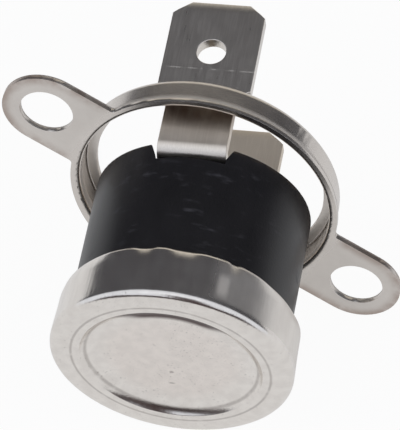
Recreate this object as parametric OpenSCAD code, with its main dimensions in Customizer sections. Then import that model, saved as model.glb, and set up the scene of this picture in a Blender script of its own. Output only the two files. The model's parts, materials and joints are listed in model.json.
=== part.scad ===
// Snap-action bimetal thermostat with a loose ring bracket, as it lies on a table.
// Lengths are in millimetres and angles in degrees.
// The pieces are drawn on the thermostat's own axes: z runs from the sensing face to the
// terminals, x across the blades, and y from the upper terminal to the lower one.
// The last step lays it down, with z along +Y and the upper terminal on top.

/* [Sensing cap] */
// Outside diameter of the cap
cap_d = 15.85; // [15.6:0.05:16.6]
// Sheet thickness of the drawn cap
cap_wall = 0.4; // [0.3:0.05:0.45]
// Height of the cap, from the sensing face to the top of the crimp
cap_h = 3.95; // [3.8:0.05:4.8]
// Least reach of the crimp, inwards from the cap's outside
crimp_reach = 0.7; // [0.6:0.05:0.75]
// Outside radius of the corner between face and wall
cap_corner_r = 0.5; // [0.5:0.05:0.8]
// Diameter at which the flat outer ring of the sensing face ends
face_ring_d = 12.2; // [11.8:0.1:13]
// Diameter of the flat centre of the sensing face
face_centre_d = 11.2; // [10:0.1:11.6]
// How far the centre is pressed in from the outer ring
face_recess = 0.4; // [0.2:0.05:0.45]

/* [Bimetal disc] */
// Diameter of the disc
disc_d = 13.2; // [12.4:0.1:13.4]
// Thickness of the disc
disc_t = 0.25; // [0.15:0.05:0.3]
// Height of its dish, bulging towards the sensing face while cold
disc_dish = 0.5; // [0.3:0.05:0.6]
// Play of the disc against the cap and the pin guide
disc_play = 0.05; // [0.03:0.01:0.1]
// Least clearance of the disc's edge in the body's skirt
disc_fit = 0.05; // [0.03:0.01:0.2]

/* [Body] */
// Diameter of the moulded body
body_d = 14.35; // [13.8:0.05:14.4]
// Height of the back rim over the sensing face
rim_z = 12.55; // [12:0.05:14]
// Height of the rim over the floor of the back recess
rim_h = 0.9; // [0.6:0.1:1.2]
// Wall of the raised rim
rim_wall = 1; // [0.8:0.1:1.3]
// Rounding of the rim's edges
rim_edge_r = 0.1; // [0.1:0.05:0.3]
// Thickness of the back wall, which the rivets go through
back_wall = 2.2; // [1.8:0.1:2.6]
// Diameter of the contact chamber
chamber_d = 11.2; // [11:0.1:11.6]
// Wall of the skirt inside the cap
skirt_wall = 0.55; // [0.45:0.05:0.65]
// Clearance between the body's flange and the cap
cap_fit = 0.03; // [0.02:0.01:0.06]

/* [Pin guide] */
// Thickness of the guide plate
guide_t = 1.2; // [1:0.1:1.5]
// Width of the rim that holds the disc's edge
guide_rim_w = 1; // [0.8:0.1:1.3]
// Depth of the hollow under the plate, inside that rim
guide_hollow = 0.3; // [0.2:0.05:0.5]
// Diameter of the boss round the pin
boss_d = 4; // [3.4:0.1:4.6]
// Height of the boss over the plate
boss_h = 0.9; // [0.5:0.1:1.2]
// Clearance of the plate in the body's skirt
guide_fit = 0.05; // [0.03:0.01:0.1]

/* [Push pin] */
// Diameter of the ceramic pin
pin_d = 2; // [1.6:0.1:2.4]
// Radius of the pin's rounded top
pin_top_r = 1.4; // [1.3:0.1:2]
// Radial clearance of the pin in its guide
pin_fit = 0.06; // [0.03:0.01:0.1]
// End play of the pin at the disc and at the arm
pin_play = 0.05; // [0.03:0.01:0.1]

/* [Contact arm and plate] */
// Width of the spring arm
arm_w = 3; // [2.4:0.1:3.4]
// Thickness of the spring arm
arm_t = 0.2; // [0.15:0.05:0.3]
// How far the arm's free length hangs below the back wall
arm_drop = 2.2; // [2:0.1:2.6]
// Flat length of the clamped end past the rivet's closed head
clamp_room = 0.3; // [0.25:0.05:0.4]
// Run of the arm's slope, from the clamp to the free length
arm_slope = 1.2; // [1:0.1:1.4]
// Distance from the axis to the contacts
contact_y = 3.4; // [3.2:0.1:3.6]
// Diameter of both contacts
contact_d = 2.2; // [1.8:0.1:2.4]
// Height of each contact's button
contact_h = 0.4; // [0.3:0.05:0.5]
// Diameter of the contacts' riveted shanks
contact_shank_d = 1.2; // [1:0.1:1.4]
// Rounding of the contacts' edges
contact_edge_r = 0.08; // [0.05:0.01:0.1]
// Gap left between the closed contacts
contact_gap = 0.02; // [0.01:0.01:0.05]
// Width of the fixed plate
plate_w = 2.6; // [2.4:0.1:3]
// Thickness of the fixed plate
plate_t = 0.3; // [0.25:0.05:0.4]
// Outside radius of the plate's bends
plate_bend_r = 0.5; // [0.45:0.05:0.6]
// Gap between the arm's end and the plate's upright
plate_room = 0.4; // [0.35:0.05:0.5]

/* [Terminals] */
// Width of the tab
tab_w = 6.2; // [6.2:0.1:6.4]
// Thickness of the terminal strip
tab_t = 0.8; // [0.6:0.1:0.8]
// Height of the tab's tip over the underside of the foot
terminal_h = 12.35; // [11.5:0.05:14]
// Width of the neck below the tab
neck_w = 4.55; // [4.2:0.05:5]
// Height of the tab's shoulders over the underside of the foot
neck_h = 4.85; // [4.6:0.05:5.6]
// Height over which the shoulders slope out to the tab's width
shoulder_rise = 0.4; // [0.3:0.1:0.8]
// Corner cut at the tip, across the blade
tip_cut_x = 1.15; // [0.8:0.05:1.5]
// Corner cut at the tip, along the blade
tip_cut_z = 1.1; // [0.7:0.05:1.4]
// Length of the bevel at the tip
tip_bevel = 0.8; // [0.5:0.05:1]
// Thickness left at the tip's edge
tip_t = 0.4; // [0.3:0.05:0.5]
// Diameter of the detent hole in the tab
detent_d = 1.95; // [1.6:0.05:2.2]
// Distance from the tip to the detent hole's centre
detent_from_tip = 4.1; // [3.6:0.05:4.4]
// Outside radius of the bend between foot and neck
bend_r = 1; // [0.9:0.1:1.2]
// How far the bend's outer face is set in from the body's side
terminal_inset = 0.03; // [0:0.01:0.1]
// Outward lean of the upper blade
upper_splay = 1.2; // [0:0.2:1.6]
// Outward lean of the lower blade
lower_splay = 1.2; // [0:0.2:1.6]
// Clearance between the neck and the sides of the rim's notch
notch_fit = 0.05; // [0.05:0.05:0.3]
// How far each side of the notch flares towards the rim's edge
notch_flare = 0.4; // [0:0.05:0.5]
// How far the notch is sunk under the terminal's bend
notch_drop = 0.35; // [0.1:0.05:0.5]
// Rounding of the notch's corners at the rim
notch_corner_r = 0.3; // [0.1:0.05:0.4]

/* [Rivets] */
// Distance from the axis to each rivet
rivet_y = 3.7; // [3.5:0.1:3.9]
// Diameter of the rivet's shank
rivet_d = 1.5; // [1.2:0.1:1.7]
// Diameter of the outer head, on the terminal's foot
rivet_head_d = 3; // [2.6:0.1:3.4]
// Height of the outer head
rivet_head_h = 0.6; // [0.4:0.1:0.8]
// Diameter of the closed head inside the chamber
rivet_tail_d = 2.2; // [2:0.1:2.4]
// Height of the closed head
rivet_tail_h = 0.4; // [0.3:0.05:0.5]
// Rounding of the heads' edges
rivet_edge_r = 0.2; // [0.1:0.05:0.25]
// Radial clearance of the rivet in its holes
rivet_fit = 0.05; // [0.03:0.01:0.1]

/* [Bracket] */
// Sheet thickness of the bracket
sheet_t = 0.4; // [0.35:0.05:0.45]
// Distance between the screw holes
hole_spacing = 24; // [23:0.2:26]
// Diameter of the screw holes
screw_hole_d = 3.6; // [3.2:0.1:4]
// Width of an ear
ear_w = 6; // [5.6:0.1:7]
// Fillet where an ear leaves the flange
ear_fillet_r = 0.3; // [0.2:0.05:0.6]
// Height of the collar, with the ears' sheet
collar_h = 2.35; // [2:0.05:2.8]
// Outside radius of the bend between collar and lip
lip_bend_r = 0.5; // [0.5:0.05:0.65]
// Radius of the bend between collar and flange, on the open side
flange_bend_r = 0.35; // [0.25:0.05:0.35]
// Width of the lip inside the collar
lip_w = 0.7; // [0.6:0.05:0.9]
// Width of the flange that is left round the collar
flange_w = 0.2; // [0.15:0.05:0.5]
// Gap between the lip and the necks' outer faces, as the bracket hangs
lip_play = 0.07; // [0.06:0.01:0.15]
// Gap between the lip and the shoulders of the upper tab
shoulder_gap = 0.2; // [0.15:0.05:0.4]
// Lean of the hanging bracket towards the lower terminal
bracket_lean = 8; // [6:0.5:9]
// Sideways turn of the hanging bracket
bracket_yaw = 2.6; // [0:0.2:3]
// Turn of its ears about the axis
bracket_turn = 33.25; // [25:0.25:45]

/* [Hidden] */
$fn = 72;
eps = 0.5;
cap_r = cap_d / 2;
body_r = body_d / 2;
chamber_r = chamber_d / 2;
neck_r = min(body_r, cap_r - crimp_reach);
crimp_r = cap_r - neck_r;
cap_bore_r = cap_r - cap_wall;
flange_r = cap_bore_r - cap_fit;
face_ring_r = face_ring_d / 2;
face_centre_r = face_centre_d / 2;

disc_r = disc_d / 2;
skirt_bore_r = max(flange_r - skirt_wall, disc_r + disc_fit);
disc_sphere_r = (disc_r * disc_r + disc_dish * disc_dish) / (2 * disc_dish);
disc_z = cap_wall + face_recess + disc_play;
disc_top_z = disc_z + disc_t;

guide_z = disc_top_z + disc_dish + disc_play;
guide_top_z = guide_z + guide_t;
guide_r = skirt_bore_r - guide_fit;

floor_z = rim_z - rim_h;
ceiling_z = floor_z - back_wall;
recess_r = body_r - rim_wall;

arm_z = ceiling_z - arm_drop;
arm_clamp_y = rivet_y - rivet_tail_d / 2 - clamp_room;
arm_end_y = contact_y + contact_d / 2 + arm_t / 2;
moving_face_z = arm_z - arm_t - contact_h;
fixed_face_z = moving_face_z - contact_gap;
plate_z = fixed_face_z - contact_h;
plate_out_y = arm_end_y + plate_room + plate_t;
plate_in_y = contact_y - contact_d / 2 - plate_t / 2;
closed_h = contact_h / 2;

pin_r = pin_d / 2;
pin_z = disc_top_z + pin_play;
pin_top_z = arm_z - arm_t - pin_play;

blade_y = body_r - terminal_inset;
tip_z = floor_z + terminal_h;
shoulder_z = floor_z + neck_h;
neck_out_y = blade_y + (neck_h - bend_r) * tan(max(upper_splay, lower_splay));

hole_r = hole_spacing / 2;
ear_r = ear_w / 2;
lip_mid_h = collar_h - sheet_t / 2;
lip_reach = neck_out_y + lip_play + sheet_t / 2 * sin(bracket_lean);
lip_r = sqrt(pow(lip_reach / cos(bracket_lean), 2) + pow(neck_w / 2, 2));
collar_r = lip_r + lip_w + sheet_t;
rim_r = collar_r + flange_w;
hang_z = shoulder_z - shoulder_gap - neck_out_y * tan(bracket_lean)
    - sheet_t / 2 / cos(bracket_lean);

// The thermostat lies on the corner of its cap and on the edge of the bracket's flange,
// and the bracket stands on that flange and on its lower ear.
corner_y = cap_r - cap_corner_r;
stand_y = rim_r * cos(bracket_lean) - (lip_mid_h - sheet_t) * sin(bracket_lean);
stand_z = hang_z - (lip_mid_h - sheet_t) * cos(bracket_lean) - rim_r * sin(bracket_lean);
stand_span = norm([stand_y - corner_y, stand_z - cap_corner_r]);
lying_pitch = atan2(stand_y - corner_y, stand_z - cap_corner_r) - asin(cap_corner_r / stand_span);
lying_roll = bracket_turn - asin((rim_r - ear_r) / hole_r)
    + asin(sin(bracket_yaw) * sin(lying_pitch));

// Half section of a round block of radius r, with rounded lower and upper edges
module round_block(r, h, low_r, high_r) {
    square([r - max(low_r, high_r), h]);
    translate([0, low_r]) square([r, h - low_r - high_r]);
    square([r - low_r, h - high_r]);
    translate([0, low_r]) square([r - high_r, h - low_r]);
    translate([r - low_r, low_r]) circle(low_r);
    translate([r - high_r, h - high_r]) circle(high_r);
}

// A strip of the given side outline, in y and z, as wide as w along x
module strip(w) {
    rotate([90, 0, 90]) translate([0, 0, -w / 2]) linear_extrude(w) children();
}

// Lays the thermostat down as it rests on a table
module lying() {
    rotate([lying_pitch, 0, 0]) rotate([0, -lying_roll, 0]) rotate([-90, 0, 0]) children();
}

// The step pressed into the sensing face, as a half section
module face_step(z) {
    translate([0, z])
        polygon([[0, -eps], [face_ring_r, -eps], [face_ring_r, 0],
            [face_centre_r, face_recess], [0, face_recess]]);
}

module sensing_cap() {
    inner_h = cap_h - 2 * cap_wall;
    color("silver") lying() rotate_extrude() {
        difference() {
            round_block(cap_r, cap_h, cap_corner_r, crimp_r);
            translate([0, cap_wall])
                round_block(cap_bore_r, inner_h, cap_corner_r - cap_wall, crimp_r - cap_wall);
            translate([0, cap_h / 2]) square([neck_r, cap_h]);
            face_step(0);
        }
        difference() {
            intersection() {
                face_step(cap_wall);
                square([cap_bore_r, cap_h]);
            }
            face_step(0);
        }
    }
}

module bimetal_disc() {
    steps = 12;
    radii = [for (i = [0:steps]) disc_r * i / steps];
    function dish(r) = disc_sphere_r - sqrt(disc_sphere_r * disc_sphere_r - r * r);
    color("darkkhaki") lying() translate([0, 0, disc_z]) rotate_extrude()
        polygon(concat([for (r = radii) [r, dish(r)]],
            [for (i = [steps:-1:0]) [radii[i], dish(radii[i]) + disc_t]]));
}

module pin_guide() {
    color("saddlebrown") lying() translate([0, 0, guide_z]) difference() {
        union() {
            cylinder(r = guide_r, h = guide_t);
            cylinder(d = boss_d, h = guide_t + boss_h);
        }
        translate([0, 0, -eps]) cylinder(r = guide_r - guide_rim_w, h = guide_hollow + eps);
        translate([0, 0, -eps]) cylinder(r = pin_r + pin_fit, h = guide_t + boss_h + 2 * eps);
    }
}

module push_pin() {
    color("white") lying() intersection() {
        translate([0, 0, pin_z]) cylinder(r = pin_r, h = pin_top_z - pin_z);
        union() {
            translate([0, 0, pin_z]) cylinder(r = pin_d, h = pin_top_z - pin_z - pin_top_r);
            translate([0, 0, pin_top_z - pin_top_r]) sphere(pin_top_r);
        }
    }
}

// The notch in the rim that a neck passes through, sunk where the terminal bends
module rim_notch() {
    low = neck_w / 2 + notch_fit;
    high = low + notch_flare;
    slant = norm([notch_flare, rim_h]);
    corner_z = rim_h - notch_corner_r;
    corner_x = low + (notch_corner_r * slant + corner_z * notch_flare) / rim_h;
    touch = [corner_x, corner_z] - notch_corner_r / slant * [rim_h, -notch_flare];
    translate([0, blade_y + eps, floor_z]) rotate([90, 0, 0]) {
        linear_extrude(rim_wall + 3 * eps) {
            polygon([[-low, 0], [low, 0], [high, rim_h], [high, rim_h + eps],
                [-high, rim_h + eps], [-high, rim_h]]);
            for (side = [0, 1]) mirror([side, 0]) difference() {
                polygon([[low, rim_h], touch, [corner_x, corner_z], [corner_x, rim_h + eps],
                    [low, rim_h + eps]]);
                translate([corner_x, corner_z]) circle(notch_corner_r);
            }
        }
        linear_extrude(bend_r + eps) translate([-low, -notch_drop])
            square([2 * low, notch_drop + eps]);
    }
}

module body() {
    color("black") lying() difference() {
        rotate_extrude() difference() {
            union() {
                translate([0, cap_wall])
                    round_block(flange_r, cap_h - 2 * cap_wall, cap_corner_r - cap_wall,
                        crimp_r - cap_wall);
                difference() {
                    translate([0, cap_wall])
                        round_block(body_r, rim_z - cap_wall, rim_edge_r, rim_edge_r);
                    if (body_r > neck_r)
                        translate([neck_r, 0]) square([body_r - neck_r, cap_h + cap_fit]);
                }
            }
            square([skirt_bore_r, guide_top_z]);
            square([chamber_r, ceiling_z]);
            translate([0, floor_z]) square([recess_r, rim_h + eps]);
        }
        for (turn = [0, 180]) rotate(turn) {
            rim_notch();
            translate([0, rivet_y, ceiling_z - eps])
                cylinder(r = rivet_d / 2 + rivet_fit, h = back_wall + 2 * eps);
        }
    }
}

// Side outline of the arm: clamped end, slope and free length
module arm_outline() {
    lap = arm_t * tan(atan2(arm_drop, arm_slope) / 2);
    start = -rivet_y - rivet_tail_d / 2;
    flat = arm_slope - arm_clamp_y;
    polygon([[start, ceiling_z], [-arm_clamp_y, ceiling_z], [flat, arm_z], [arm_end_y, arm_z],
        [arm_end_y, arm_z - arm_t], [flat - lap, arm_z - arm_t],
        [-arm_clamp_y - lap, ceiling_z - arm_t], [start, ceiling_z - arm_t]]);
}

module contact_arm() {
    color("goldenrod") lying() difference() {
        strip(arm_w) arm_outline();
        translate([0, -rivet_y, ceiling_z - arm_t - eps])
            cylinder(r = rivet_d / 2 + rivet_fit, h = arm_t + 2 * eps);
        translate([0, contact_y, arm_z - arm_t - eps])
            cylinder(d = contact_shank_d, h = arm_t + 2 * eps);
    }
}

// A contact button with its shank through a strip t thick and the closed head behind it
module contact(t) {
    rotate_extrude() {
        round_block(contact_d / 2, contact_h, contact_edge_r, contact_edge_r);
        square([contact_shank_d / 2, contact_h + t + closed_h]);
        translate([0, contact_h + t])
            round_block(contact_shank_d / 2 + closed_h, closed_h, contact_edge_r, contact_edge_r);
    }
}

module moving_contact() {
    color("gainsboro") lying() translate([0, contact_y, moving_face_z]) contact(arm_t);
}

module contact_plate() {
    top_h = ceiling_z - plate_z + plate_t;
    color("goldenrod") lying() difference() {
        strip(plate_w) difference() {
            translate([0, plate_z - plate_t])
                round_block(plate_out_y, top_h, plate_bend_r, plate_bend_r);
            translate([0, plate_z])
                round_block(plate_out_y - plate_t, top_h - 2 * plate_t, plate_bend_r - plate_t,
                    plate_bend_r - plate_t);
            square([plate_in_y, rim_z]);
        }
        translate([0, rivet_y, ceiling_z - plate_t - eps])
            cylinder(r = rivet_d / 2 + rivet_fit, h = plate_t + 2 * eps);
        translate([0, contact_y, plate_z - plate_t - eps])
            cylinder(d = contact_shank_d, h = plate_t + 2 * eps);
    }
}

module fixed_contact() {
    color("gainsboro") lying() translate([0, contact_y, fixed_face_z]) mirror([0, 0, 1])
        contact(plate_t);
}

// Flat outline of the tab, in x and z, with sloped shoulders and cut corners
module tab_outline() {
    low = neck_w / 2;
    side = tab_w / 2;
    polygon([[-low, shoulder_z], [low, shoulder_z], [side, shoulder_z + shoulder_rise],
        [side, tip_z - tip_cut_z], [side - tip_cut_x, tip_z], [tip_cut_x - side, tip_z],
        [-side, tip_z - tip_cut_z], [-side, shoulder_z + shoulder_rise]]);
}

// Side outline of the tab, in y and z, bevelled to the tip on both faces
module tab_side() {
    mid = blade_y - tab_t / 2;
    polygon([[blade_y - tab_t, shoulder_z - eps], [blade_y, shoulder_z - eps],
        [blade_y, tip_z - tip_bevel], [mid + tip_t / 2, tip_z], [mid - tip_t / 2, tip_z],
        [blade_y - tab_t, tip_z - tip_bevel]]);
}

// The terminal on the lower side: riveted foot, bend, and a blade that leans out by splay
module terminal(splay) {
    hub_y = blade_y - bend_r;
    hub_z = floor_z + bend_r;
    color("darkgray") difference() {
        union() {
            translate([0, rivet_y, floor_z]) linear_extrude(tab_t) {
                intersection() {
                    circle(d = neck_w);
                    translate([-neck_w / 2, -neck_w]) square(neck_w);
                }
                translate([-neck_w / 2, 0]) square([neck_w, hub_y - rivet_y]);
            }
            strip(neck_w) translate([hub_y, hub_z]) intersection() {
                difference() {
                    circle(bend_r);
                    circle(bend_r - tab_t);
                }
                polygon([[0, 0], [0, -2 * bend_r], [2 * bend_r, -2 * bend_r],
                    [2 * bend_r * cos(splay), -2 * bend_r * sin(splay)]]);
            }
            translate([0, hub_y, hub_z]) rotate([-splay, 0, 0]) translate([0, -hub_y, -hub_z])
                blade();
        }
        translate([0, rivet_y, floor_z - eps])
            cylinder(r = rivet_d / 2 + rivet_fit, h = tab_t + 2 * eps);
    }
}

// Neck and tab, upright
module blade() {
    difference() {
        union() {
            strip(neck_w) translate([blade_y - tab_t, floor_z + bend_r])
                square([tab_t, neck_h - bend_r]);
            intersection() {
                strip(tab_w) tab_side();
                translate([0, blade_y + eps, 0]) rotate([90, 0, 0])
                    linear_extrude(tab_t + 2 * eps) tab_outline();
            }
        }
        translate([0, blade_y + eps, tip_z - detent_from_tip]) rotate([90, 0, 0])
            cylinder(d = detent_d, h = tab_t + 2 * eps);
    }
}

module upper_terminal() {
    lying() rotate(180) terminal(upper_splay);
}

module lower_terminal() {
    lying() terminal(lower_splay);
}

// A rivet through the foot, the back wall and an inner piece t thick
module rivet(t) {
    tail_z = ceiling_z - t - rivet_tail_h;
    head_z = floor_z + tab_t;
    color("lightgray") translate([0, rivet_y, 0]) rotate_extrude() {
        translate([0, tail_z]) square([rivet_d / 2, head_z - tail_z]);
        translate([0, tail_z])
            round_block(rivet_tail_d / 2, rivet_tail_h, rivet_edge_r, rivet_edge_r / 2);
        translate([0, head_z])
            round_block(rivet_head_d / 2, rivet_head_h, rivet_edge_r / 2, rivet_edge_r);
    }
}

module upper_rivet() {
    lying() rotate(180) rivet(arm_t);
}

module lower_rivet() {
    lying() rivet(plate_t);
}

// Half section of the bracket's ring: flange, collar and lip
module ring_section() {
    collar_bore = collar_r - sheet_t;
    difference() {
        union() {
            square([rim_r, sheet_t]);
            square([collar_r, collar_h - lip_bend_r]);
            square([collar_r - lip_bend_r, collar_h]);
            translate([collar_r - lip_bend_r, collar_h - lip_bend_r]) circle(lip_bend_r);
        }
        square([lip_r, collar_h + eps]);
        square([collar_bore, collar_h - lip_bend_r]);
        square([collar_r - lip_bend_r, collar_h - sheet_t]);
        translate([collar_r - lip_bend_r, collar_h - lip_bend_r]) circle(lip_bend_r - sheet_t);
        difference() {
            square([collar_bore + flange_bend_r, flange_bend_r]);
            translate([collar_bore + flange_bend_r, flange_bend_r]) circle(flange_bend_r);
        }
    }
}

// Flat outline of one ear, with the fillets where it leaves the flange
module ear_outline() {
    fillet_y = ear_r + ear_fillet_r;
    fillet_x = sqrt(pow(rim_r + ear_fillet_r, 2) - pow(fillet_y, 2));
    touch = rim_r / (rim_r + ear_fillet_r);
    difference() {
        union() {
            translate([0, -ear_r]) square([hole_r, ear_w]);
            translate([hole_r, 0]) circle(ear_r);
            for (side = [-1, 1]) difference() {
                polygon([[0, 0], [fillet_x, side * ear_r],
                    [fillet_x * touch, side * fillet_y * touch]]);
                translate([fillet_x, side * fillet_y]) circle(ear_fillet_r);
            }
        }
        circle(collar_r - sheet_t + flange_bend_r);
        translate([hole_r, 0]) circle(d = screw_hole_d);
    }
}

module mounting_bracket() {
    color("lightgray") lying() translate([0, 0, hang_z]) rotate([-bracket_lean, bracket_yaw, 0])
        rotate(bracket_turn) translate([0, 0, -lip_mid_h]) {
            rotate_extrude() ring_section();
            for (turn = [0, 180]) rotate(turn) linear_extrude(sheet_t) ear_outline();
        }
}

sensing_cap();
bimetal_disc();
pin_guide();
push_pin();
body();
contact_arm();
moving_contact();
contact_plate();
fixed_contact();
upper_terminal();
lower_terminal();
upper_rivet();
lower_rivet();
mounting_bracket();
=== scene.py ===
import json
from math import atan2, degrees, exp, pi, radians

import bmesh
import bpy
from mathutils import Matrix, Vector


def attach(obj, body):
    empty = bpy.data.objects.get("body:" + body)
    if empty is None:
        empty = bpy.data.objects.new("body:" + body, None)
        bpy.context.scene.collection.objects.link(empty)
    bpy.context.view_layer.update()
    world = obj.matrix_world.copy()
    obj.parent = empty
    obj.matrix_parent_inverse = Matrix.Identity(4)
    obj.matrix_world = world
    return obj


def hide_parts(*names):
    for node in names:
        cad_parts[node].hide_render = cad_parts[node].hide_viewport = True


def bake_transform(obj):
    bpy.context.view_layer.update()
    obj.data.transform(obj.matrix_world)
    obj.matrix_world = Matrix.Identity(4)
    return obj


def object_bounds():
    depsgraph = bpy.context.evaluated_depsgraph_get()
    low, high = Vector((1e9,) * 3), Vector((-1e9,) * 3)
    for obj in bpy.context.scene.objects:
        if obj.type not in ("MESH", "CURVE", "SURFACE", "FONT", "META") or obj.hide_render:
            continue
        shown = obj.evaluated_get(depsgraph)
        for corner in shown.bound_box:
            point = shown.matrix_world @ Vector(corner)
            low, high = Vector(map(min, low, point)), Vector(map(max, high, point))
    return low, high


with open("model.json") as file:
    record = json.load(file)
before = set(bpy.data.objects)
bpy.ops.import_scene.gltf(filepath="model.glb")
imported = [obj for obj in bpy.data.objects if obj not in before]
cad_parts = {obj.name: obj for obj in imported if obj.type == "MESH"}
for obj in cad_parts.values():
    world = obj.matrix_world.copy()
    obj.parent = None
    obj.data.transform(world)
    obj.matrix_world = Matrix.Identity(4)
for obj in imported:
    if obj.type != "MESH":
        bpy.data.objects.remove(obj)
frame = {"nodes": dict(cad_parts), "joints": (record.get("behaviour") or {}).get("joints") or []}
cad_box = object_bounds()

# Body: one round moulding of black phenolic resin, with a raised rim round the back recess
# and a notch on each side for a terminal. It comes from a closed mould, so its wall is
# semi-matt with a faint flow grain, and it has picked up short pale rub marks.
MM = 0.001
axis = {joint["name"]: Vector(joint["axis"]) for joint in frame["joints"]}
lying = Matrix((axis["arm_flex"], axis["pin_slide"].cross(axis["arm_flex"]),
                axis["pin_slide"])).transposed()


class Tone:
    """A shader socket; Python's operators on it add Math nodes."""

    def __init__(self, tree, socket=None):
        self.tree, self.socket = tree, socket

    def node(self, kind, sockets, outlet=0, **settings):
        made = self.tree.nodes.new("ShaderNode" + kind)
        for name, value in settings.items():
            setattr(made, name, value)
        for name, value in sockets.items():
            if isinstance(value, Tone):
                self.tree.links.new(value.socket, made.inputs[name])
            else:
                made.inputs[name].default_value = value
        return Tone(self.tree, made.outputs[outlet])

    def maths(self, operation, first, second):
        return self.node("Math", {0: first, 1: second}, operation=operation)

    def __add__(self, other):
        return self.maths("ADD", self, other)

    def __radd__(self, other):
        return self.maths("ADD", other, self)

    def __sub__(self, other):
        return self.maths("SUBTRACT", self, other)

    def __rsub__(self, other):
        return self.maths("SUBTRACT", other, self)

    def __mul__(self, other):
        return self.maths("MULTIPLY", self, other)

    def __rmul__(self, other):
        return self.maths("MULTIPLY", other, self)

    def __pow__(self, other):
        return self.maths("POWER", self, other)

    def size(self):
        return self.maths("ABSOLUTE", self, 0.0)


def tint(red, green, blue):
    """A colour as it is seen on a screen, 0 to 255, in the shader's own values."""
    return tuple((v / 255 / 12.92) if v < 10.3 else ((v / 255 + 0.055) / 1.055) ** 2.4
                 for v in (red, green, blue))


def coat(mask, under, over):
    """The colour under where the mask is 0, going to the colour over where it is 1."""
    under, over = (c if isinstance(c, Tone) else (*c, 1) for c in (under, over))
    return mask.node("Mix", {0: mask, 6: under, 7: over}, outlet=2, data_type="RGBA")


def fade(value, start, end):
    """0 up to start, 1 from end, and smooth between them."""
    return value.node("MapRange", {"Value": value, "From Min": start, "From Max": end},
                      interpolation_type="SMOOTHSTEP")


def grain(place, size, detail=2.0, stretch=(1, 1, 1)):
    """Noise around 0.5 whose lumps are about size millimetres."""
    scaled = place.node("VectorMath", {0: place, 1: stretch}, operation="MULTIPLY")
    return place.node("TexNoise", {"Vector": scaled, "Scale": 1 / size, "Detail": detail})


def finish(name, turn, origin):
    """A material with its shader, and places in millimetres on the piece's own axes."""
    material = bpy.data.materials.new(name)
    material.use_nodes = True
    tree = material.node_tree
    shader = tree.nodes["Principled BSDF"]
    back = turn.transposed()
    start = Tone(tree)
    place = start.node("Mapping", {
        "Vector": start.node("TexCoord", {}, outlet="Object"),
        "Scale": (1 / MM,) * 3, "Rotation": back.to_euler(),
        "Location": back @ origin / -MM})
    return material, shader, place


def along(place, way):
    """The place's distance along its own x, y or z."""
    return place.node("SeparateXYZ", {0: place}, outlet="xyz".index(way))


def paint(shader, **finishes):
    """Sets or links the shader's sockets, named with _ for a space."""
    for name, value in finishes.items():
        socket = shader.inputs[name.replace("_", " ")]
        if isinstance(value, Tone):
            value.tree.links.new(value.socket, socket)
        else:
            socket.default_value = value


def relief(height, depth):
    """A bump of the given depth in millimetres."""
    return height.node("Bump", {"Height": height, "Distance": depth * MM})


def dress(node, material):
    """Gives a CAD node its finish."""
    slots = frame["nodes"][node].data.materials
    slots.clear()
    slots.append(material)


face = Vector((0, 0, 0))  # the middle of the cap's face
phenolic, shader, place = finish("black_phenolic", lying, face)
flow = grain(place, 1.6, 4.0, (1, 1, 0.5))
marks = fade(grain(place, 1.0, 3.0, (0.8, 0.8, 2.6)), 0.54, 0.82)
marks = marks * fade(grain(place, 2.6), 0.42, 0.62)
rub = fade(along(place, "z"), 12.2, 12.55) * fade(grain(place, 0.5), 0.4, 0.65)
resin = coat(flow, tint(20, 19, 21), tint(30, 28, 31))
resin = coat(rub, resin, tint(72, 60, 50))
paint(shader, Base_Color=coat(marks * 0.55, resin, tint(80, 78, 84)),
      Roughness=0.3 + 0.12 * flow + 0.2 * marks, IOR=1.45,
      Normal=relief(grain(place, 0.12) + 0.5 * flow, 0.006))
dress("body", phenolic)

# Contact plate and arm: two strips of rolled spring bronze, blanked and bent, held inside
# the body by the terminals' rivets. The arm is the thinner one and bends next to its clamp,
# so its clamped end stays with the body.
bronze, shader, place = finish("spring_bronze", lying, face)
rolled = grain(place, 0.12, 2.0, (1, 0.08, 1))
paint(shader, Base_Color=coat(grain(place, 2.0), tint(186, 140, 82), tint(206, 164, 104)),
      Metallic=1.0, Roughness=0.28 + 0.14 * rolled, Normal=relief(rolled, 0.003))
dress("contact_plate", bronze)
same_point, sliver = 0.0005, 0.002  # millimetres


def eased(node, name, width, least, segments=3, cuts=()):
    """A copy of a CAD node with its edges over the least angle rolled over by the width, and
    cut across at places along the lying y so that it can bend there."""
    shape = bmesh.new()
    shape.from_mesh(frame["nodes"][node].data)
    bmesh.ops.scale(shape, vec=(1 / MM,) * 3, verts=shape.verts)
    bmesh.ops.remove_doubles(shape, verts=shape.verts, dist=same_point)
    bmesh.ops.dissolve_limit(shape, angle_limit=radians(0.4), verts=shape.verts,
                             edges=shape.edges, use_dissolve_boundaries=False)
    edges = [e for e in shape.edges if e.is_manifold and e.calc_face_angle() > radians(least)]
    bmesh.ops.bevel(shape, geom=edges, offset=width, offset_type="OFFSET", affect="EDGES",
                    segments=segments, profile=0.5, material=-1, clamp_overlap=True)
    bmesh.ops.remove_doubles(shape, verts=shape.verts, dist=sliver)
    bmesh.ops.dissolve_degenerate(shape, edges=shape.edges, dist=sliver)
    bmesh.ops.recalc_face_normals(shape, faces=shape.faces)
    for place in cuts:
        bmesh.ops.bisect_plane(shape, geom=shape.verts[:] + shape.edges[:] + shape.faces[:],
                               dist=0.0001, plane_co=lying @ Vector((0, place, 0)),
                               plane_no=lying @ Vector((0, 1, 0)))
    bmesh.ops.scale(shape, vec=(MM,) * 3, verts=shape.verts)
    made = piece(shape, name)
    made.modifiers.new("flat_faces", "WEIGHTED_NORMAL").keep_sharp = True
    return made


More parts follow.
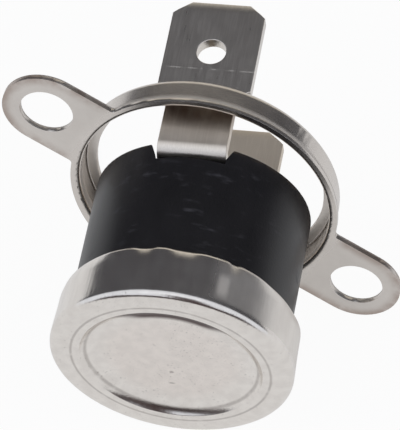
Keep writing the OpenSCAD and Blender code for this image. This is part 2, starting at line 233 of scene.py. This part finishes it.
def piece(shape, name, sharp=40):
    """The object of a finished shape, smooth but for its edges over the sharp angle."""
    mesh = bpy.data.meshes.new(name)
    shape.to_mesh(mesh)
    shape.free()
    mesh.shade_smooth()
    mesh.set_sharp_from_angle(angle=radians(sharp))
    made = bpy.data.objects.new(name, mesh)
    bpy.context.collection.objects.link(made)
    return made


clamp_y, free_y, clamp_z, bends = -2.35, -1.15, 9.35, 12  # the bend's ends, height and steps
arm = eased("contact_arm", "sprung_arm", 0.03, 50,
            cuts=[clamp_y + (free_y - clamp_y) * step / bends for step in range(bends + 1)])
arm.data.materials.append(bronze)
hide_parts("contact_arm")
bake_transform(arm)

# Contacts: two turned buttons of fine silver, one riveted into the arm and one into the
# plate, with a light burn where they meet.
silver, shader, place = finish("contact_silver", lying, face)
burn = fade(grain(place, 0.5, 4.0), 0.5, 0.72)
paint(shader, Base_Color=coat(burn, tint(222, 221, 216), tint(128, 120, 108)), Metallic=1.0,
      Roughness=0.22 + 0.35 * burn, Normal=relief(grain(place, 0.08), 0.003))
dress("moving_contact", silver)
dress("fixed_contact", silver)

# Terminals: blanked from plated steel strip, with a foot riveted into the back recess, a
# bend, a narrow neck and a push-on tab whose tip is coined thin. The blanking leaves the
# edges slightly rolled over.
plated, shader, place = finish("plated_steel", lying, face)
mottle = grain(place, 1.2, 5.0)
rolled = grain(place, 0.1, 3.0, (1, 1, 0.06))
height = along(place, "z")
scored = (1 - fade((height - 18.45).size(), 0.02, 0.07)) * fade(grain(place, 0.5), 0.35, 0.6)
lower = fade(along(place, "y"), 4.0, 5.0) * fade(height, 12.6, 13.4)
bent = fade(height, 11.9, 12.6) * (1 - fade(height, 14.6, 16.2))
tone = coat(mottle, tint(212, 206, 199), tint(230, 224, 216))
tone = coat(fade(rolled, 0.4, 0.7) * 0.3, tone, tint(246, 241, 234))
tone = coat(bent * 0.3 + lower * 0.4, tone, tint(226, 206, 178))
# A brown band on the neck just under the ring: painted reflection of the ring's dark inside,
# broken up by noise.
painted_ring_reflection = fade(height, 13.6, 14.8) * (1 - fade(height, 16.4, 16.9)) * (1 - lower)
painted_ring_reflection = painted_ring_reflection * fade(grain(place, 1.5, 3.0, (1, 1, 0.5)), 0.2, 0.6)
tone = coat(painted_ring_reflection * 0.7, tone, tint(120, 90, 70))
paint(shader, Base_Color=coat(scored * 0.3, tone, tint(240, 236, 230)), Metallic=1.0,
      Roughness=0.22 + 0.06 * mottle + 0.1 * rolled + 0.15 * scored + 0.12 * bent + 0.24 * lower,
      Normal=relief(rolled + 0.3 * mottle, 0.006))
for node in ("upper_terminal", "lower_terminal"):
    tab = eased(node, node + "_blank", 0.05, 50)
    tab.data.materials.append(plated)
    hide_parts(node)
    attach(tab, "thermostat")

# Rivets: two headed steel rivets, plated like the terminals, that clamp a terminal's foot,
# the back wall and an inner strip together.
dress("upper_rivet", plated)
dress("lower_rivet", plated)

# Pin guide: a brown phenolic plate pressed into the body's skirt, with a rim that holds the
# disc's edge and a boss that guides the pin.
brown, shader, place = finish("brown_phenolic", lying, face)
flow = grain(place, 1.2, 4.0)
paint(shader, Base_Color=coat(flow, tint(92, 52, 30), tint(120, 74, 44)),
      Roughness=0.4 + 0.2 * flow, Normal=relief(grain(place, 0.15), 0.005))
dress("pin_guide", brown)

# Push pin: a pressed and fired ceramic pin with a rounded top, loose in its guide. It hands
# the disc's snap on to the arm.
ceramic, shader, place = finish("white_ceramic", lying, face)
fired = grain(place, 0.3, 3.0)
paint(shader, Base_Color=coat(fired, tint(226, 222, 212), tint(240, 238, 232)),
      Roughness=0.42 + 0.2 * fired, Normal=relief(fired, 0.003))
dress("push_pin", ceramic)

# Bimetal disc: two rolled alloys bonded in one sheet, stamped into a shallow dish that snaps
# over when it is warm. It lies loose in the cap.
bimetal, shader, place = finish("bimetal_sheet", lying, face)
rolled = grain(place, 0.1, 2.0, (1, 0.05, 1))
paint(shader, Base_Color=coat(grain(place, 2.4), tint(168, 160, 142), tint(190, 180, 158)),
      Metallic=1.0, Roughness=0.3 + 0.15 * rolled, Normal=relief(rolled, 0.003))
dress("bimetal_disc", bimetal)

# Sensing cap: drawn from soft aluminium sheet in one stroke, with the centre of its face
# pressed in, and crimped over the body's flange. The die leaves fine lines up its wall.
cap_r, cap_h, wall = 7.925, 3.95, 0.4
recess, inside, lip_r = 0.6, 0.84, 7.19  # depth of the pressed centre, its back, and the crimp
profile = [  # radius, height over the face and rounding, round the section from the axis
    (0.0, recess, 0), (5.52, recess, 0.7), (6.0, 0.0, 0.06), (6.5, 0.0, 0),
    (cap_r + 0.045, 0.0, 0.5), (cap_r + 0.03, 0.8, 0.2), (cap_r - 0.05, 2.4, 0.7),
    (cap_r - 0.06, cap_h, 0.35), (lip_r, cap_h, 0.03), (lip_r, cap_h - wall, 0.05),
    (cap_r - wall - 0.05, cap_h - wall, 0.3), (cap_r - wall, wall, 0.1), (6.3, wall, 0.1),
    (5.6, 0.7, 0.1), (4.9, inside, 0.1), (0.0, inside, 0)]
flats = [  # middle and half width in degrees
    (30, 16), (62, 8), (101, 14), (140, 12), (213, 26), (259.5, 4.5), (278.5, 7), (303, 2.5),
    (337, 18)]
crimp_z, crimp_r, crimp_slope = 3.05, cap_r - 0.45, 0.2  # where the flats start, and their lean
shape = bmesh.new()
corners = [shape.verts.new((r, 0, z)) for r, z, rounding in profile]
for one, other in zip(corners, corners[1:]):
    shape.edges.new((one, other))
for corner, (r, z, rounding) in zip(corners, profile):
    if rounding:
        bmesh.ops.bevel(shape, geom=[corner], offset=rounding, offset_type="OFFSET",
                        affect="VERTICES", segments=6, profile=0.5, material=-1)
bmesh.ops.spin(shape, geom=shape.verts[:] + shape.edges[:], axis=(0, 0, 1), cent=(0, 0, 0),
               angle=2 * pi, steps=240, use_merge=True)
bmesh.ops.remove_doubles(shape, verts=shape.verts, dist=same_point)
bmesh.ops.recalc_face_normals(shape, faces=shape.faces)
for vert in shape.verts:  # the crimping rolls leave flats along the shoulder
    turn, radius = degrees(atan2(vert.co.y, vert.co.x)) % 360, vert.co.xy.length
    if vert.co.z > crimp_z and radius > crimp_r:
        dent = max(exp(-((turn - middle) / half) ** 4) for middle, half in flats)
        vert.co.xy *= 1 - crimp_slope * dent * (vert.co.z - crimp_z) / radius
bmesh.ops.transform(shape, matrix=lying.to_4x4() @ Matrix.Scale(MM, 4), verts=shape.verts)
cap = piece(shape, "drawn_cap", 50)

aluminium, shader, place = finish("drawn_aluminium", lying, face)
mottle = grain(place, 1.4, 4.0)
drawn = grain(place, 0.16, 3.0, (1, 1, 0.04))
side, across, height = (along(place, way) for way in "xyz")
from_axis = (side ** 2 + across ** 2) ** 0.5
scuff = fade(side, 2.4, 4.4) * fade(height, 0.5, 0.9)
rubbed = 1 - fade((side - 3.8).size(), 0.1, 0.5)
rubbed = rubbed * fade(height, 0.7, 1.5) * (1 - fade(height, 2.2, 3.0))
pressed = fade(height, 0.2, 0.3) * (1 - fade(height, 0.62, 0.66))
pressed = (1 - fade(from_axis, 5.7, 5.8)) * pressed
# A dark brown crescent on one side of the pressed centre, inside its rim: a painted reflection,
# not a stain.
painted_dark_reflection = fade(0.13 * side - across, 3.8, 4.5) * fade(from_axis, 4.38, 4.85) * pressed
broken_up = fade(grain(place, 0.8, 3.0), 0.15, 0.5)
on_face = 1 - fade(height, 0.6, 0.7)
# Two thin grey rings painted on the face, at radii 5.65 and 6.52 mm, broken up by noise.
inner_ring = 1 - fade((from_axis - 5.65).size(), 0.02, 0.16)
outer_ring = 1 - fade((from_axis - 6.52).size(), 0.02, 0.13)
rings = (inner_ring + outer_ring) * broken_up * on_face
pits = fade(grain(place, 0.14, 1.0), 0.66, 0.76) * fade(grain(place, 1.6), 0.4, 0.6)
knock = 1 - fade(((side + 0.22) ** 2 + (across - 1.69) ** 2) ** 0.5, 0.06, 0.2)
nick = 1 - fade(((0.4 * side + 0.14) ** 2 + (across - 3.03) ** 2) ** 0.5, 0.03, 0.12)
cloud = fade(grain(place, 0.7, 6.0, (1, 1, 0.3)), 0.3, 0.7)
tone = coat(mottle, tint(228, 223, 217), tint(240, 235, 229))
tone = coat((1 - fade(from_axis, 3.6, 5.2)) * 0.6, tone, tint(231, 222, 215))
tone = coat(cloud * 0.35, tone, tint(208, 201, 195))
tone = coat(rings * 0.45 + (pits + knock + nick) * on_face * 0.6, tone, tint(138, 129, 124))
paint(shader, Base_Color=coat(painted_dark_reflection * 0.95, tone, tint(66, 48, 47)), Metallic=1.0,
      Roughness=0.165 + 0.09 * mottle + 0.16 * scuff + 0.2 * rubbed,
      Normal=relief(drawn + 0.8 * mottle, 0.006))
cap.data.materials.append(aluminium)
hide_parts("sensing_cap")
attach(cap, "thermostat")

# Mounting bracket: stamped from bright steel sheet, a drawn collar with a lip turned in and
# two screw ears. It hangs loose round the blades, caught under the tabs' shoulders.
hang = next(Vector(joint["pos_m"]) for joint in frame["joints"]
            if joint["name"] == "bracket_swivel")
yaw, lean, turn, hole_x = 2.6, -8, 33.25, 12  # degrees, and millimetres
ring = (lying @ Matrix.Rotation(radians(yaw), 3, "Y") @ Matrix.Rotation(radians(lean), 3, "X")
        @ Matrix.Rotation(radians(turn), 3, "Z"))
steel, shader, place = finish("bright_steel", ring, hang)
mottle = grain(place, 1.5, 4.0)
rolled = grain(place, 0.1, 3.0, (0.05, 1, 1))
height, reach = along(place, "z"), along(place, "x").size()
foot = (1 - fade(height, -1.62, -1.25)) * fade(height, -1.9, -1.8)
crown = fade(height, -0.45, 0.1)
past_hole = fade(reach - hole_x, 0.0, 0.01) * (reach - hole_x)
from_middle = (past_hole ** 2 + along(place, "y") ** 2) ** 0.5
ear = fade(reach, 8.6, 9.6) * (1 - fade(height, -1.72, -1.7))
# Browner towards the ears' outer edges: painted shade of their rolled-over edges, broken up by
# noise.
painted_edge_shade = fade(from_middle, 2.2, 3.0) * ear * fade(grain(place, 1.2, 3.0), 0.2, 0.6)
tone = coat(mottle, tint(206, 200, 194), tint(226, 220, 214))
paint(shader, Base_Color=coat(painted_edge_shade * 0.6, tone, tint(150, 128, 116)), Metallic=1.0,
      Roughness=0.21 + 0.08 * mottle + 0.42 * foot + 0.12 * crown + 0.1 * ear,
      Normal=relief(rolled + 0.4 * mottle, 0.003))
bracket = eased("mounting_bracket", "stamped_bracket", 0.12, 50, 4)
bracket.data.materials.append(steel)
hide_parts("mounting_bracket")
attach(bracket, "bracket")

# Table: a plain white sheet under the part. Seen straight it is paper white and keeps a faint
# shadow, and the metal mirrors it a little less bright.
shape = bmesh.new()
bmesh.ops.create_grid(shape, x_segments=1, y_segments=1, size=1.5)
bmesh.ops.translate(shape, vec=(0, 0, cad_box[0][2] - 0.02 * MM), verts=shape.verts)
table = piece(shape, "table")
paper = bpy.data.materials.new("white_paper")
paper.use_nodes = True
tree = paper.node_tree
shader = tree.nodes["Principled BSDF"]
paint(shader, Base_Color=(0.86, 0.86, 0.86, 1), Roughness=0.9)
light = Tone(tree)
seen = light.node("LightPath", {}, outlet="Is Camera Ray")
mirrored = light.node("LightPath", {}, outlet="Is Glossy Ray")
glow = light.node("Emission", {"Color": (1, 1, 1, 1), "Strength": 1.0})
sheet = light.node("MixShader", {0: 0.95 * seen + 0.6 * mirrored, 2: glow,
                                 1: Tone(tree, shader.outputs[0])})
tree.links.new(sheet.socket, tree.nodes["Material Output"].inputs["Surface"])
table.data.materials.append(paper)

# Studio: an open bright room in front and overhead, dark behind the part but for a beige
# wall low down, a dark stand and a person in front, and one broad soft box.
room = bpy.data.worlds.new("room")
room.use_nodes = True
tree = room.node_tree
light = Tone(tree)
seen = light.node("LightPath", {}, outlet="Is Camera Ray")
way = light.node("TexCoord", {}, outlet="Generated")
up, back = along(way, "z"), along(way, "y")
behind, beige = fade(back, 0.2, 0.32), fade(back, 0.74, 0.88)
stand = (1 - fade(up, 0.3, 0.44)) * (1 - fade(back, -0.62, -0.42))
dim = coat(beige, (0.072, 0.072, 0.08), (0.76, 0.72, 0.64))
walls = coat(stand, coat(behind, (0.84, 0.88, 0.96), dim), (0.04, 0.025, 0.025))
aside = (0.976 * along(way, "x") + 0.219 * back).size()
person = (1 - fade(aside, 0.16, 0.32)) * (1 - fade(up, 0.8, 0.9)) * (1 - fade(back, -0.4, -0.3))
walls = coat(person, walls, (0.06, 0.04, 0.04))
paint(tree.nodes["Background"], Color=coat(seen, walls, (1.0, 1.0, 1.0)))
bpy.context.scene.world = room
target = Vector((0, 12, 0)) * MM


def softbox(name, where, width, height, radiance, colour):
    """A rectangular lamp that faces the part and looks equally bright all over."""
    lamp = bpy.data.lights.new(name, "AREA")
    lamp.shape, lamp.size, lamp.size_y = "RECTANGLE", width, height
    lamp.energy, lamp.color = radiance * pi * width * height, colour
    made = bpy.data.objects.new(name, lamp)
    made.location = where
    made.rotation_euler = (target - Vector(where)).to_track_quat("-Z", "Y").to_euler()
    bpy.context.collection.objects.link(made)


softbox("top_box", (0.0, -0.22, 0.5), 0.6, 0.4, 0.15, (0.92, 0.96, 1.0))

# Camera: a long lens, close to the photograph's place.
lens = bpy.data.cameras.new("camera")
lens.lens, lens.sensor_width, lens.sensor_fit = 315, 36, "HORIZONTAL"
lens.clip_start, lens.clip_end = 0.01, 10
camera = bpy.data.objects.new("camera", lens)
right = Vector((0.984087, 0.173769, -0.037102))
down = Vector((0.112638, -0.771571, -0.626092))
camera.matrix_world = Matrix.LocRotScale(
    Vector((31.5686, -129.3264, 180.4771)) * MM,
    Matrix((right, -down, -right.cross(down))).transposed(), None)
bpy.context.collection.objects.link(camera)
bpy.context.scene.camera = camera
bpy.context.scene.view_settings.view_transform = "Standard"
